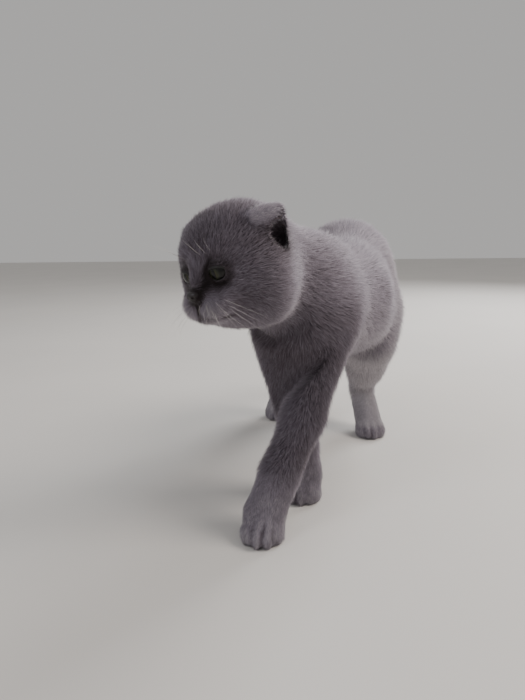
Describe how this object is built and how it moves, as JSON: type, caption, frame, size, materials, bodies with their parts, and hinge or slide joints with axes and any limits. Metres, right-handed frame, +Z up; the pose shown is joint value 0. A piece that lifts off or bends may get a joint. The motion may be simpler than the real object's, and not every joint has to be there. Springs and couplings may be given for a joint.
{
  "type": "scottish fold cat",
  "caption": "Life-size walking cat with small folded ears, a round head turned to its right, a thick plush grey coat and a lowered tail.",
  "frame": {"origin": "on the floor, under the middle of the whole cat's box", "axes": "+Z up, the cat walks towards -Y with its body along Y, and its left side is +X"},
  "size_m": [0.1954, 0.5004, 0.2906],
  "materials": {
    "coat": "short dense plush fur, blue-grey, with pale tips",
    "face_coat": "very short plush fur, darker blue-grey on the brow and round the eyes",
    "nose_leather": "slightly moist dark grey nose leather",
    "eye": "wet, glossy eyeball, grey-green iris with a dark pupil"
  },
  "bodies": {
    "root": {"head": "face_coat", "nose": "nose_leather", "eye_left": "eye", "eye_right": "eye", "ear_left": "face_coat", "ear_right": "face_coat", "neck": "coat", "torso": "coat", "tail_base": "coat", "tail_end": "coat", "foreleg_left": "coat", "foreleg_right": "coat", "forepaw_left": "coat", "forepaw_right": "coat", "thigh_left": "coat", "thigh_right": "coat", "shin_left": "coat", "shin_right": "coat", "hindpaw_left": "coat", "hindpaw_right": "coat"}
  },
  "joints": []
}
